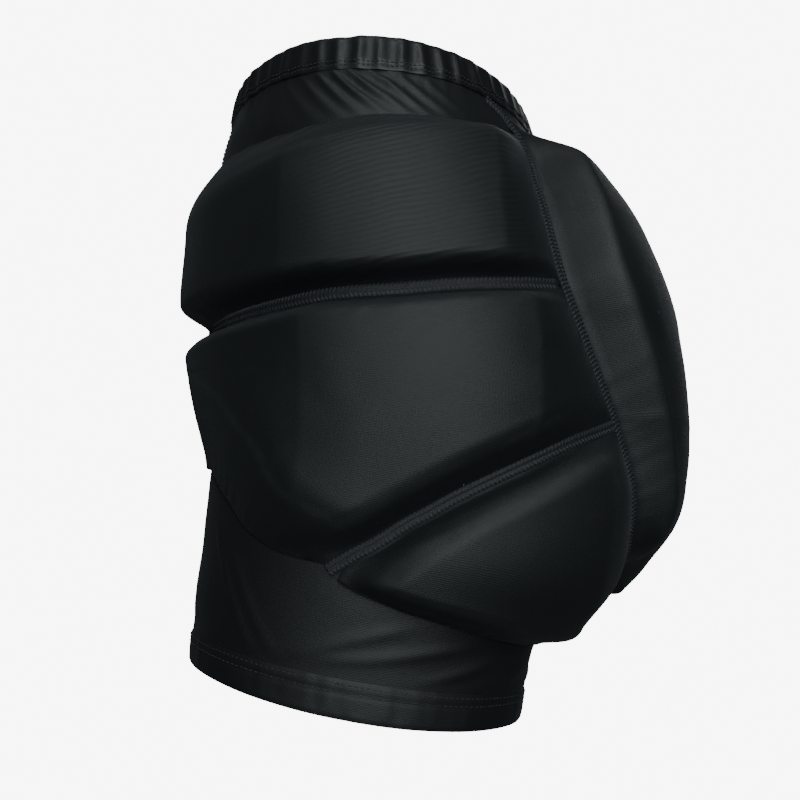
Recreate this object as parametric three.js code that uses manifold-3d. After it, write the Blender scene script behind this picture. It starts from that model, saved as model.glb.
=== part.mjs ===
// Padded hip shorts, standing in the shape that a wearer gives them: stretch cloth panels, a gathered
// elastic waistband, and four foam pads on each side under sewn covers.
// Millimetres, +Z up. The wearer faces -Y and the wearer's left side is +X.
// The origin is the centre of the waist opening, on the waistband's top edge.
import * as THREE from "three";
import { mergeVertices } from "three/addons/utils/BufferGeometryUtils.js";
import Module from "manifold-3d";

const wasm = await Module();
wasm.setup();

// Body sizes, over the cloth and without the pads
const WAIST_WIDTH = 264;
const WAIST_DEPTH = 171;
const HIP_WIDTH = 344;
const HIP_DEPTH = 233;
const HIP_BACK = 30.5; // how far the hip's middle lies behind the waist's
const BELLY = 13; // how far the belly stands out ahead of that
const THIGH_WIDTH = 156;
const THIGH_DEPTH = 173;
const THIGH_BACK = -13; // a raised thigh: its middle at the hem lies ahead of the waist's
const LEG_OUT = 86; // each leg's middle from the mid-plane
const RISE = 250; // waist edge down to the crotch
const INSEAM = 83; // crotch down to the hem's edge
const WAIST_DROP = 11; // how much lower the waist is at the back than at the front
const HEM_DROP = 31; // the same at the hem
const WAIST_SIDE_RISE = 12; // how much higher the waist is at the sides
const HEM_END_RISE = 8; // how much higher the hem is at the front and the back
const SQUARENESS = 2.2; // exponent of the sections: 2 is an ellipse

// Cloth
const CLOTH = 1.5;
const JOIN = 0.8; // gap between two pieces that are sewn edge to edge
const SEAM_JOIN = 2; // the same under a sewn strip
const SEAT = 0.3; // gap between a piece and what it lies on
const FRONT_PANEL_WIDTH = 90;
const CROTCH_PANEL_WIDTH = 56;
const BAND_HEIGHT = 16.5;
const BAND_THICKNESS = 3;
const BAND_GATHERS = 38;
const GATHER_DEPTH = 1.6;
const EDGE_FULLNESS = 0.35; // share of a gather's height that is left at the band's edges
const HEM_HEIGHT = 19;
const HEM_THICKNESS = 2.4;
const SEAM_WIDTH = 6;
const SEAM_THICKNESS = 1.4;
const SEAM_LAY = 0.9; // seam's underside over the cloth

// Pads
const HIP_PAD_THICKNESS = 22;
const THIGH_PAD_THICKNESS = 19;
const SEAT_PAD_THICKNESS = 28;
const PAD_RIM = 2.4; // layers of cover cloth where a pad is sewn down
const PAD_CROWN = 3; // how much higher a pad's middle is than its face's edge
const PAD_MARGIN = 1.2; // between a pad's rim and the seam beside it
const SEAT_PAD_APART = 10; // between the two seat pads

// The body's sections. down: 0 is the waist, 1 the crotch, 2 the hem. side, front and back: 0 is the
// waist's size, 1 the hip's, 2 the hem's. belly: share of BELLY. axis: share of LEG_OUT. past: how far
// a half body reaches past the mid-plane, as a share of its half width. apart: share of the hem's gap.
const BODY = [
  { down: 0.0, side: 0.0, front: 0.0, back: 0.0, belly: 0.0, axis: 0.0, past: 1.0, apart: 0.0 },
  { down: 0.07, side: 0.17, front: 0.05, back: 0.1, belly: 0.25, axis: 0.0, past: 1.0, apart: 0.0 },
  { down: 0.165, side: 0.4, front: 0.1, back: 0.3, belly: 0.7, axis: 0.0, past: 1.0, apart: 0.0 },
  { down: 0.335, side: 0.73, front: 0.3, back: 0.7, belly: 0.9, axis: 0.0, past: 1.0, apart: 0.0 },
  { down: 0.5, side: 0.9, front: 0.8, back: 0.93, belly: 0.95, axis: 0.04, past: 0.95, apart: 0.0 },
  { down: 0.695, side: 1.0, front: 1.0, back: 1.0, belly: 0.55, axis: 0.38, past: 0.55, apart: 0.0 },
  { down: 0.815, side: 1.0, front: 1.05, back: 1.02, belly: 0.3, axis: 0.66, past: 0.27, apart: 0.0 },
  { down: 0.94, side: 1.05, front: 1.3, back: 1.2, belly: 0.1, axis: 0.92, past: 0.07, apart: 0.0 },
  { down: 1.0, side: 1.1, front: 1.45, back: 1.36, belly: 0.0, axis: 1.0, past: 0.0, apart: 0.0 },
  { down: 1.235, side: 1.4, front: 1.6, back: 1.68, belly: 0.0, axis: 1.0, past: 0.0, apart: 0.4 },
  { down: 1.52, side: 1.7, front: 1.8, back: 1.9, belly: 0.0, axis: 1.0, past: 0.0, apart: 0.65 },
  { down: 2.0, side: 2.0, front: 2.0, back: 2.0, belly: 0.0, axis: 1.0, past: 0.0, apart: 1.0 },
];

// Seams and edges over the left half. angle: degrees round the body from its side, back positive.
const SEAT_SEAM = [
  { down: 0.06, angle: 31 },
  { down: 0.1, angle: 43 },
  { down: 0.15, angle: 45 },
  { down: 0.245, angle: 40 },
  { down: 0.335, angle: 36.5 },
  { down: 0.43, angle: 35.2 },
  { down: 0.545, angle: 39.2 },
  { down: 0.69, angle: 47.2 },
  { down: 0.775, angle: 53.4 },
  { down: 0.86, angle: 60.4 },
  { down: 0.94, angle: 71.5 },
  { down: 1.0, angle: 90 },
];
const YOKE_EDGE = [
  { angle: -95, down: 0.19 },
  { angle: -50, down: 0.196 },
  { angle: -30, down: 0.19 },
  { angle: -15, down: 0.174 },
  { angle: 0, down: 0.157 },
  { angle: 20, down: 0.147 },
  { angle: 50, down: 0.127 },
];
const HIP_SEAM = [
  { angle: -95, down: 0.6 },
  { angle: -65, down: 0.584 },
  { angle: -37, down: 0.555 },
  { angle: -20, down: 0.528 },
  { angle: -4, down: 0.507 },
  { angle: 5, down: 0.488 },
  { angle: 16, down: 0.472 },
  { angle: 30, down: 0.455 },
  { angle: 50, down: 0.437 },
];
// The middle pad's free lower edge, from the groin down to its low corner
const MIDDLE_LOW_EDGE = [
  { angle: -100, down: 0.9 },
  { angle: -75, down: 0.91 },
  { angle: -57, down: 0.965 },
  { angle: -44, down: 1.05 },
  { angle: -29, down: 1.135 },
  { angle: -13, down: 1.16 },
];
const THIGH_SEAM = [
  { angle: -13, down: 1.16 },
  { angle: -10.2, down: 1.09 },
  { angle: -6.3, down: 1.005 },
  { angle: -1.3, down: 0.955 },
  { angle: 5.5, down: 0.899 },
  { angle: 13.7, down: 0.848 },
  { angle: 22.2, down: 0.806 },
  { angle: 33, down: 0.76 },
  { angle: 48.5, down: 0.71 },
];
// The lower pad's upper edge where it follows the seat seam and goes on under the seat
const UNDER_SEAT_EDGE = [
  { angle: 48.5, down: 0.71 },
  { angle: 54.3, down: 0.785 },
  { angle: 60.4, down: 0.86 },
  { angle: 71.5, down: 0.94 },
  { angle: 90, down: 1.0 },
  { angle: 120, down: 1.06 },
];
const LOWER_LOW_EDGE = [
  { angle: -13, down: 1.2 },
  { angle: -9, down: 1.245 },
  { angle: -1, down: 1.299 },
  { angle: 8, down: 1.342 },
  { angle: 26, down: 1.389 },
  { angle: 42, down: 1.425 },
  { angle: 60, down: 1.45 },
  { angle: 82, down: 1.455 },
  { angle: 120, down: 1.4 },
];
const LOWER_PAD_FRONT = -10.5; // degrees
const LOWER_PAD_BACK = 116;
const SEAT_PAD_TOP = 0.1; // down
const SEAT_PAD_LOW = 0.985;

// How wide a pad's slopes are at each side, as shares of its thickness. topBack and lowBack are the
// widths at the back end of the top and low slopes.
const PAD_SLOPES = {
  upper: { front: 0.75, back: 1.6, top: 1.3, topBack: 0.8, low: 0.4, lowBack: 0.4 },
  middle: { front: 1.3, back: 2.0, top: 0.4, topBack: 0.4, low: 1.6, lowBack: 0.7 },
  lower: { front: 1.0, back: 2.4, top: 0.6, topBack: 1.7, low: 0.45, lowBack: 1.1 },
  seat: { front: 0.4, back: 0.5, top: 0.8, topBack: 0.8, low: 1.1, lowBack: 1.1 },
};
const FACE_ROUNDING = 0.45; // share of a slope's width over which the face's edge is rounded

// Folds across the yoke, fanning back from under the band
const YOKE_FOLDS = [
  { angle: -20, height: 1.2 },
  { angle: -12, height: 1.6 },
  { angle: -4, height: 1.5 },
  { angle: 4, height: 1.1 },
];
const FOLD_LEAN = 9; // degrees that a fold runs back from the band to the pad
const FOLD_WIDTH = 3; // degrees

// How finely the pieces are divided
const COLUMNS_PER_GATHER = 4;
const YOKE_GRID = { wide: 28, high: 3 };
const PANEL_GRID = { wide: 6, high: 12 };
const SIDE_COLUMNS = 11;
const INNER_LEG_COLUMNS = 10;
const TORSO_ROWS = 9;
const LEG_ROWS = 5;
const HEM_COLUMNS = 26;
const HEM_ROWS = 2;
const BAND_ROWS = 2;
const PAD_GRID = { wide: 10, high: 8 };
const SEAM_STEPS = 12;

const DEGREE = Math.PI / 180;
const { clamp, lerp } = THREE.MathUtils;
const always = (value) => () => value;

// A smooth curve through a table's rows that never overshoots them
function curve(rows, from, to) {
  const x = rows.map((row) => row[from]);
  const y = rows.map((row) => row[to]);
  const last = x.length - 1;
  const rate = x.slice(1).map((value, i) => (y[i + 1] - y[i]) / (value - x[i]));
  const slope = x.map((_, i) => {
    if (i === 0 || i === last) return rate[Math.min(i, last - 1)];
    const [before, after] = [rate[i - 1], rate[i]];
    return before * after > 0 ? (2 * before * after) / (before + after) : 0;
  });
  return (at) => {
    if (at <= x[0]) return y[0] + slope[0] * (at - x[0]);
    if (at >= x[last]) return y[last] + slope[last] * (at - x[last]);
    const i = x.findIndex((value, k) => k > 0 && at <= value) - 1;
    const width = x[i + 1] - x[i];
    const t = (at - x[i]) / width;
    const rise = (y[i + 1] - y[i]) * t * t * (3 - 2 * t);
    return y[i] + rise + width * t * (1 - t) * ((1 - t) * slope[i] - t * slope[i + 1]);
  };
}

const depthOf = (down) => RISE * Math.min(down, 1) + INSEAM * Math.max(down - 1, 0);
const placed = (rows) =>
  rows.map((row) => ({ ...row, depth: depthOf(row.down), phi: row.angle * DEGREE }));
const overDepth = (rows) => curve(placed(rows), "depth", "phi");
const overAngle = (rows) => curve(placed(rows), "phi", "depth");

const bodyCurve = Object.fromEntries(
  Object.keys(BODY[0]).map((name) => [name, curve(placed(BODY), "depth", name)]));
const between = (share, waist, hip, hem) =>
  share <= 1 ? lerp(waist, hip, share) : lerp(hip, hem, share - 1);

// The half body's section at a depth: its middle, and how far it reaches each way from there
function section(depth) {
  const share = (name) => bodyCurve[name](depth);
  const side = between(share("side"), WAIST_WIDTH / 2, HIP_WIDTH / 2, LEG_OUT + THIGH_WIDTH / 2);
  const front = between(
    share("front"), -WAIST_DEPTH / 2, HIP_BACK - HIP_DEPTH / 2, THIGH_BACK - THIGH_DEPTH / 2,
  ) - BELLY * share("belly");
  const back = between(
    share("back"), WAIST_DEPTH / 2, HIP_BACK + HIP_DEPTH / 2, THIGH_BACK + THIGH_DEPTH / 2);
  const inner = share("apart") * (LEG_OUT - THIGH_WIDTH / 2) - share("past") * side;
  const x = share("axis") * LEG_OUT;
  return { x, y: (front + back) / 2, outward: side - x, inward: x - inner, deep: (back - front) / 2 };
}

const rounded = (value) => Math.sign(value) * Math.abs(value) ** (2 / SQUARENESS);

// A point of the left half's cloth: phi is 0 at the side and grows towards the back
function bodyPoint(phi, depth) {
  const { x, y, outward, inward, deep } = section(depth);
  const cos = Math.cos(phi);
  const behind = deep * rounded(Math.sin(phi));
  const tilt = lerp(WAIST_DROP / WAIST_DEPTH, HEM_DROP / THIGH_DEPTH, depth / (RISE + INSEAM));
  const waistLift = WAIST_SIDE_RISE * clamp(1 - depth / (RISE / 2), 0, 1) ** 2 * cos * cos;
  const hemLift = HEM_END_RISE * clamp((depth - RISE) / INSEAM, 0, 1) ** 2 * (1 - cos * cos);
  const lift = waistLift + hemLift;
  const beside = (cos > 0 ? outward : inward) * rounded(cos);
  return new THREE.Vector3(x + beside, y + behind, lift - depth - tilt * behind);
}

const STEP = 1e-3;
const alongPhi = (phi, depth) =>
  bodyPoint(phi + STEP, depth).sub(bodyPoint(phi - STEP, depth)).divideScalar(2 * STEP);
const alongDepth = (phi, depth) =>
  bodyPoint(phi, depth + STEP).sub(bodyPoint(phi, depth - STEP)).divideScalar(2 * STEP);

// The point at a height over the cloth's outer face
function overBody(phi, depth, height) {
  const normal = alongDepth(phi, depth).cross(alongPhi(phi, depth)).normalize();
  return bodyPoint(phi, depth).addScaledVector(normal, height);
}

// The same on a left piece, which stays on its own side of the mid-plane
function overLeft(phi, depth, height) {
  const point = overBody(phi, depth, height);
  return point.setX(Math.max(point.x, JOIN / 2));
}

// The angle at which a section crosses the plane at x
function angleAtX(x, depth) {
  const s = section(depth);
  const share = (x - s.x) / (x > s.x ? s.outward : s.inward);
  return Math.acos(clamp(Math.sign(share) * Math.abs(share) ** (SQUARENESS / 2), -1, 1));
}

// Seams and edges as functions: a line down the body gives phi, a line round it gives depth
const seatSeam = overDepth(SEAT_SEAM);
const frontSeam = (depth) =>
  -angleAtX(lerp(FRONT_PANEL_WIDTH, CROTCH_PANEL_WIDTH, clamp(depth / RISE, 0, 1)) / 2, depth);
const yokeEdge = overAngle(YOKE_EDGE);
const hipSeam = overAngle(HIP_SEAM);
const thighSeam = overAngle(THIGH_SEAM);
const middleLowEdge = overAngle(MIDDLE_LOW_EDGE);
const underSeatEdge = overAngle(UNDER_SEAT_EDGE);
const lowerLowEdge = overAngle(LOWER_LOW_EDGE);
const THIGH_CORNER = THIGH_SEAM[0].angle * DEGREE;
const SEAT_CORNER = UNDER_SEAT_EDGE[0].angle * DEGREE;

// Millimetres round the body for a unit of phi, and square to a slanting edge for a unit of depth
const roundScale = (phi, depth) => alongPhi(phi, depth).length();
function downScale(edge, phi) {
  const depth = edge(phi);
  const down = alongDepth(phi, depth).length();
  const slope = (edge(phi + STEP) - edge(phi - STEP)) / (2 * STEP);
  return down / Math.hypot(1, (slope * down) / roundScale(phi, depth));
}
const beside = (seam, mm) => (depth) => seam(depth) + mm / roundScale(seam(depth), depth);
const below = (edge, mm) => (phi) => edge(phi) + mm / downScale(edge, phi);

// Where a share u of the way round and w of the way up lies between a region's four edges. Each step
// goes only half way, so that it settles at steep edges too.
const CROSSING_STEPS = 40;
function regionPlace({ front, back, top, low }) {
  return (u, w) => {
    let depth = RISE / 2;
    let phi = 0;
    for (let i = 0; i < CROSSING_STEPS; i += 1) {
      phi = lerp(front(depth), back(depth), u);
      depth = lerp(depth, lerp(low(phi), top(phi), w), 0.5);
    }
    return { phi: lerp(front(depth), back(depth), u), depth };
  };
}

// A closed sheet over a grid of cells: point gives its grid points on the lower and the upper face,
// has says which cells are cloth, and ring closes it round the body.
function sheet({ wide, high, point, has = always(true), ring = false }) {
  const columns = ring ? wide : wide + 1;
  const points = [];
  const index = [];
  const known = new Map();
  const at = (face, i, j) => {
    const key = `${face} ${i % columns} ${j}`;
    if (!known.has(key)) {
      known.set(key, points.length / 3);
      points.push(...point(i % columns, j, face).toArray());
    }
    return known.get(key);
  };
  const cloth = (i, j) =>
    j >= 0 && j < high && (ring || (i >= 0 && i < wide)) && has((i + wide) % wide, j);
  const quad = (a, b, c, d) => index.push(a, b, c, a, c, d);
  const wall = (i0, j0, i1, j1) =>
    quad(at("lower", i0, j0), at("lower", i1, j1), at("upper", i1, j1), at("upper", i0, j0));
  for (let i = 0; i < wide; i += 1) {
    for (let j = 0; j < high; j += 1) {
      if (!cloth(i, j)) continue;
      const [a, b] = ["upper", "lower"];
      quad(at(a, i, j), at(a, i + 1, j), at(a, i + 1, j + 1), at(a, i, j + 1));
      quad(at(b, i, j), at(b, i, j + 1), at(b, i + 1, j + 1), at(b, i + 1, j));
      if (!cloth(i, j - 1)) wall(i, j, i + 1, j);
      if (!cloth(i + 1, j)) wall(i + 1, j, i + 1, j + 1);
      if (!cloth(i, j + 1)) wall(i + 1, j + 1, i, j + 1);
      if (!cloth(i - 1, j)) wall(i, j + 1, i, j);
    }
  }
  return new THREE.BufferGeometry()
    .setAttribute("position", new THREE.Float32BufferAttribute(points, 3))
    .setIndex(index);
}

// How grid lines are spaced over a span: evenly, or closer together towards its ends
const END_CROWDING = 0.85;
const even = (i, count) => i / count;
const crowded = (i, count) =>
  lerp(even(i, count), 0.5 - 0.5 * Math.cos((Math.PI * i) / count), END_CROWDING);

// A sheet of the left half between two heights over the cloth
function leftSheet({ place, lower, upper, ...grid }) {
  const point = (i, j, face) => {
    const { phi, depth } = place(i, j);
    const height = face === "upper" ? upper : lower;
    return overLeft(phi, depth, height(phi, depth));
  };
  return sheet({ ...grid, point });
}
function regionSheet({ edges, wide, high, spacing = even, lower, upper }) {
  const at = regionPlace(edges);
  const place = (i, j) => at(spacing(i, wide), spacing(j, high));
  return leftSheet({ place, wide, high, lower: always(lower), upper });
}

// Cloth from its inner face to its outer, and the thicker slab that is cut from what lies on it
const CUT_DEPTH = 8 * CLOTH;
const clothFaces = { lower: -CLOTH, upper: always(0) };
const cutterFaces = { lower: -CUT_DEPTH, upper: always(SEAT) };

const bandLow = BAND_HEIGHT + JOIN;
const torsoLow = RISE - JOIN / 2;
const legTop = RISE + JOIN / 2;
const hemTop = RISE + INSEAM - HEM_HEIGHT;
const middle = (depth) => angleAtX(JOIN / 2, depth);

// Tapers from 1 in a span's middle to 0 at its ends
const fade = (at, from, to) => Math.sin(Math.PI * clamp((at - from) / (to - from), 0, 1));

function yokeRelief(phi, depth) {
  const run = (depth - bandLow) / (yokeEdge(phi) - bandLow);
  const height = YOKE_FOLDS.reduce((sum, fold) => {
    const centre = (fold.angle + FOLD_LEAN * run) * DEGREE;
    return sum + fold.height * Math.exp(-(((phi - centre) / (FOLD_WIDTH * DEGREE)) ** 2));
  }, 0);
  return height * fade(depth, bandLow, yokeEdge(phi));
}

function yoke() {
  const edges = {
    front: beside(frontSeam, JOIN / 2), back: beside(seatSeam, -SEAM_JOIN / 2),
    top: always(bandLow), low: below(yokeEdge, -JOIN / 2),
  };
  return regionSheet({ edges, ...YOKE_GRID, lower: -CLOTH, upper: yokeRelief });
}

function frontPanel() {
  const edges = {
    front: (depth) => -middle(depth), back: beside(frontSeam, -JOIN / 2),
    top: always(bandLow), low: always(torsoLow),
  };
  return regionSheet({ edges, ...PANEL_GRID, spacing: crowded, ...clothFaces });
}

function seatPanel(faces) {
  const edges = {
    front: beside(seatSeam, SEAM_JOIN / 2), back: middle, top: always(bandLow), low: always(torsoLow),
  };
  return regionSheet({ edges, ...PANEL_GRID, spacing: crowded, ...faces });
}

// The leg's cloth over the side of the body, between the front seam and the seat seam, and from there
// down and round the thigh
const legEdges = {
  front: beside(frontSeam, JOIN / 2), back: beside(seatSeam, -SEAM_JOIN / 2),
  top: below(yokeEdge, JOIN / 2), low: always(legTop),
};
const overSide = regionPlace(legEdges);
const [legFront, legBack] = [legEdges.front(legTop), legEdges.back(legTop)];
function legPlace(i, j) {
  if (j > LEG_ROWS) return overSide(i / SIDE_COLUMNS, (j - LEG_ROWS) / TORSO_ROWS);
  const phi = i <= SIDE_COLUMNS
    ? lerp(legFront, legBack, i / SIDE_COLUMNS)
    : lerp(legBack, legFront + 2 * Math.PI, (i - SIDE_COLUMNS) / INNER_LEG_COLUMNS);
  return { phi, depth: lerp(hemTop - JOIN, legTop, j / LEG_ROWS) };
}

const legHeight = LEG_ROWS + TORSO_ROWS;
const legPanel = () => leftSheet({
  place: legPlace, wide: SIDE_COLUMNS, high: legHeight, lower: always(-CLOTH), upper: always(0),
});

// The gusset between the legs closes each leg round the thigh
function innerLegPanel() {
  const place = (i, j) => {
    const { phi, depth } = legPlace(SIDE_COLUMNS + i, j);
    const joint = JOIN / roundScale(phi, depth);
    const inset = (i === 0 ? joint : 0) - (i === INNER_LEG_COLUMNS ? joint : 0);
    return { phi: phi + inset, depth };
  };
  return leftSheet({
    place, wide: INNER_LEG_COLUMNS, high: LEG_ROWS, lower: always(-CLOTH), upper: always(0),
  });
}

// Both of them in one, for cutting
const legCutter = () => leftSheet({
  place: legPlace, wide: SIDE_COLUMNS + INNER_LEG_COLUMNS, high: legHeight, ring: true,
  has: (i, j) => j < LEG_ROWS || i < SIDE_COLUMNS,
  lower: always(cutterFaces.lower), upper: cutterFaces.upper,
});

function legHem() {
  const place = (i, j) => ({
    phi: (2 * Math.PI * i) / HEM_COLUMNS, depth: lerp(RISE + INSEAM, hemTop, j / HEM_ROWS),
  });
  return leftSheet({
    place, wide: HEM_COLUMNS, high: HEM_ROWS, ring: true,
    lower: always(-CLOTH), upper: always(HEM_THICKNESS - CLOTH),
  });
}

// The elastic draws its casing into even gathers that stand up between the band's two edges
function waistband() {
  const wide = COLUMNS_PER_GATHER * BAND_GATHERS;
  const point = (i, j, face) => {
    const phi = (2 * Math.PI * i) / wide;
    const share = j / BAND_ROWS;
    const gather = 0.5 + 0.5 * Math.cos(BAND_GATHERS * phi);
    const fullness = lerp(EDGE_FULLNESS, 1, fade(share, 0, 1));
    const height = face === "upper"
      ? BAND_THICKNESS / 2 + GATHER_DEPTH * gather * fullness
      : -BAND_THICKNESS / 2;
    return overBody(phi, lerp(BAND_HEIGHT, 0, share), height);
  };
  return sheet({ wide, high: BAND_ROWS, point, ring: true });
}

const SAME_POINT = 1e-4;
function toSolid(geometry) {
  const plain = geometry.toNonIndexed();
  const bare = new THREE.BufferGeometry().setAttribute("position", plain.getAttribute("position"));
  const merged = mergeVertices(bare, SAME_POINT);
  return new wasm.Manifold(new wasm.Mesh({
    numProp: 3,
    vertProperties: merged.attributes.position.array,
    triVerts: new Uint32Array(merged.index.array),
  }));
}
function cutBy(geometry, tool) {
  const mesh = toSolid(geometry).subtract(toSolid(tool)).getMesh();
  return new THREE.BufferGeometry()
    .setAttribute("position", new THREE.BufferAttribute(Float32Array.from(mesh.vertProperties), 3))
    .setIndex(new THREE.BufferAttribute(Uint32Array.from(mesh.triVerts), 1));
}

// Share of a pad's height at a distance in from its rim, with the face's edge rounded off
function ramp(distance, width) {
  const share = clamp(distance / width, 0, 2);
  const near = Math.max(FACE_ROUNDING - Math.abs(share - 1), 0) / FACE_ROUNDING;
  return Math.min(share, 1) - (near * near * FACE_ROUNDING) / 4;
}

// Shares of a pad's span for its grid lines: half way up each end's slope, the slope's end, and even
// steps over the face between them
const LONGEST_SLOPE = 0.4; // share of the span
function padLine(i, count, firstSlope, lastSlope) {
  const first = Math.min(firstSlope, LONGEST_SLOPE);
  const last = Math.min(lastSlope, LONGEST_SLOPE);
  if (i < 2) return (i * first) / 2;
  if (i > count - 2) return 1 - ((count - i) * last) / 2;
  return lerp(first, 1 - last, (i - 2) / (count - 4));
}

// A pad that lies on cloth. Its underside starts inside the cloth and is cut back by it.
function pad({ edges, slopes, thickness, cutter }) {
  const { wide, high } = PAD_GRID;
  const place = regionPlace(edges);
  const centre = place(0.5, 0.5);
  const width = roundScale(centre.phi, centre.depth)
    * (edges.back(centre.depth) - edges.front(centre.depth));
  const fromSide = (edge, phi, depth) => Math.abs(phi - edge(depth)) * roundScale(phi, depth);
  const fromEdge = (edge, phi, depth) => Math.abs(depth - edge(phi)) * downScale(edge, phi);
  const body = thickness - PAD_RIM - PAD_CROWN;
  const point = (i, j, face) => {
    const [front, back] = [slopes.front * thickness, slopes.back * thickness];
    const u = padLine(i, wide, front / width, back / width);
    const top = lerp(slopes.top, slopes.topBack, u) * thickness;
    const low = lerp(slopes.low, slopes.lowBack, u) * thickness;
    const along = place(u, 0.5).phi;
    const height = fromEdge(edges.top, along, edges.low(along));
    const w = padLine(j, high, low / height, top / height);
    const { phi, depth } = place(u, w);
    if (face === "lower") return overLeft(phi, depth, -CUT_DEPTH / 4);
    const rise = ramp(fromSide(edges.front, phi, depth), front)
      * ramp(fromSide(edges.back, phi, depth), back)
      * ramp(fromEdge(edges.top, phi, depth), top)
      * ramp(fromEdge(edges.low, phi, depth), low);
    const crown = fade(u, 0, 1) * fade(w, 0, 1);
    return overLeft(phi, depth, SEAT + PAD_RIM + body * rise + PAD_CROWN * crown);
  };
  return cutBy(sheet({ wide, high, point }), cutter());
}

const seamSide = SEAM_WIDTH / 2 + PAD_MARGIN;
const hipPadFront = beside(frontSeam, seamSide);
const hipPadBack = beside(seatSeam, -seamSide);

const upperHipPad = () => pad({
  edges: {
    front: hipPadFront, back: hipPadBack,
    top: below(yokeEdge, JOIN / 2 + PAD_MARGIN), low: below(hipSeam, -seamSide),
  },
  slopes: PAD_SLOPES.upper, thickness: HIP_PAD_THICKNESS, cutter: legCutter,
});

const besideThighSeam = below(thighSeam, -seamSide);
const MIDDLE_PAD_CORNER = 0.76; // down: the middle pad's rear corner
const middleHipPad = () => pad({
  edges: {
    front: hipPadFront, back: (depth) => hipPadBack(Math.min(depth, depthOf(MIDDLE_PAD_CORNER))),
    top: below(hipSeam, seamSide),
    low: (phi) => Math.min(
      phi < THIGH_CORNER ? middleLowEdge(phi) : Infinity, besideThighSeam(Math.max(phi, THIGH_CORNER)),
    ),
  },
  slopes: PAD_SLOPES.middle, thickness: HIP_PAD_THICKNESS, cutter: legCutter,
});

const underThighSeam = below(thighSeam, seamSide);
const underSeatSeam = below(underSeatEdge, seamSide);
const lowerHipPad = () => pad({
  edges: {
    front: always(LOWER_PAD_FRONT * DEGREE), back: always(LOWER_PAD_BACK * DEGREE),
    top: (phi) => (phi < SEAT_CORNER ? underThighSeam(phi) : underSeatSeam(phi)), low: lowerLowEdge,
  },
  slopes: PAD_SLOPES.lower, thickness: THIGH_PAD_THICKNESS, cutter: legCutter,
});

const seatPad = () => pad({
  edges: {
    front: beside(seatSeam, seamSide), back: (depth) => angleAtX(SEAT_PAD_APART / 2, depth),
    top: always(depthOf(SEAT_PAD_TOP)), low: always(depthOf(SEAT_PAD_LOW)),
  },
  slopes: PAD_SLOPES.seat, thickness: SEAT_PAD_THICKNESS, cutter: () => seatPanel(cutterFaces),
});

// A flat sewn strip over the joint of two pieces
const seamFaces = { lower: SEAM_LAY, upper: always(SEAM_LAY + SEAM_THICKNESS) };
const seatSeamStrip = () => regionSheet({
  edges: {
    front: beside(seatSeam, -SEAM_WIDTH / 2), back: beside(seatSeam, SEAM_WIDTH / 2),
    top: always(bandLow + JOIN), low: always(torsoLow),
  },
  wide: 1, high: 2 * SEAM_STEPS, ...seamFaces,
});
const seamAcross = (seam, front) => regionSheet({
  edges: {
    front, back: hipPadBack, top: below(seam, -SEAM_WIDTH / 2), low: below(seam, SEAM_WIDTH / 2),
  },
  wide: SEAM_STEPS, high: 1, ...seamFaces,
});

const cloth = new THREE.MeshStandardMaterial({ color: 0x15171a, roughness: 0.62, metalness: 0 });
const padCover = new THREE.MeshStandardMaterial({ color: 0x191c1f, roughness: 0.55, metalness: 0 });
const elastic = new THREE.MeshStandardMaterial({ color: 0x131416, roughness: 0.68, metalness: 0 });
const seamThread = new THREE.MeshStandardMaterial({ color: 0x202226, roughness: 0.75, metalness: 0 });

// The right side's copy of a piece, with its faces turned round so that they still point out
function mirrored(geometry) {
  const copy = geometry.clone().scale(-1, 1, 1);
  const index = copy.index.array;
  for (let i = 0; i < index.length; i += 3) [index[i + 1], index[i + 2]] = [index[i + 2], index[i + 1]];
  return copy;
}

const shorts = new THREE.Group();
function add(name, geometry, material) {
  geometry.computeVertexNormals();
  const mesh = new THREE.Mesh(geometry, material);
  mesh.name = name;
  shorts.add(mesh);
}
function addPair(name, geometry, material) {
  add(`${name}_left`, geometry, material);
  add(`${name}_right`, mirrored(geometry), material);
}

add("waistband", waistband(), elastic);
addPair("yoke", yoke(), cloth);
addPair("front_panel", frontPanel(), cloth);
addPair("seat_panel", seatPanel(clothFaces), cloth);
addPair("leg_panel", legPanel(), cloth);
addPair("inner_leg_panel", innerLegPanel(), cloth);
addPair("leg_hem", legHem(), cloth);
addPair("upper_hip_pad", upperHipPad(), padCover);
addPair("middle_hip_pad", middleHipPad(), padCover);
addPair("lower_hip_pad", lowerHipPad(), padCover);
addPair("seat_pad", seatPad(), padCover);
addPair("seat_seam", seatSeamStrip(), seamThread);
addPair("hip_seam", seamAcross(hipSeam, hipPadFront), seamThread);
addPair("thigh_seam", seamAcross(thighSeam, always(THIGH_CORNER)), seamThread);

export default shorts;
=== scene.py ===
# Padded hip shorts as a wearer fills them: stretch cloth, a gathered waistband and four foam pads a side.
# Lengths are millimetres until a mesh is made, and metres in Blender. The wearer faces -Y, and their
# left side is +X. Every surface is placed by two numbers: phi, the angle round the body from its side
# towards the back, and depth, the distance down from the waist edge.
import math

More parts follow.
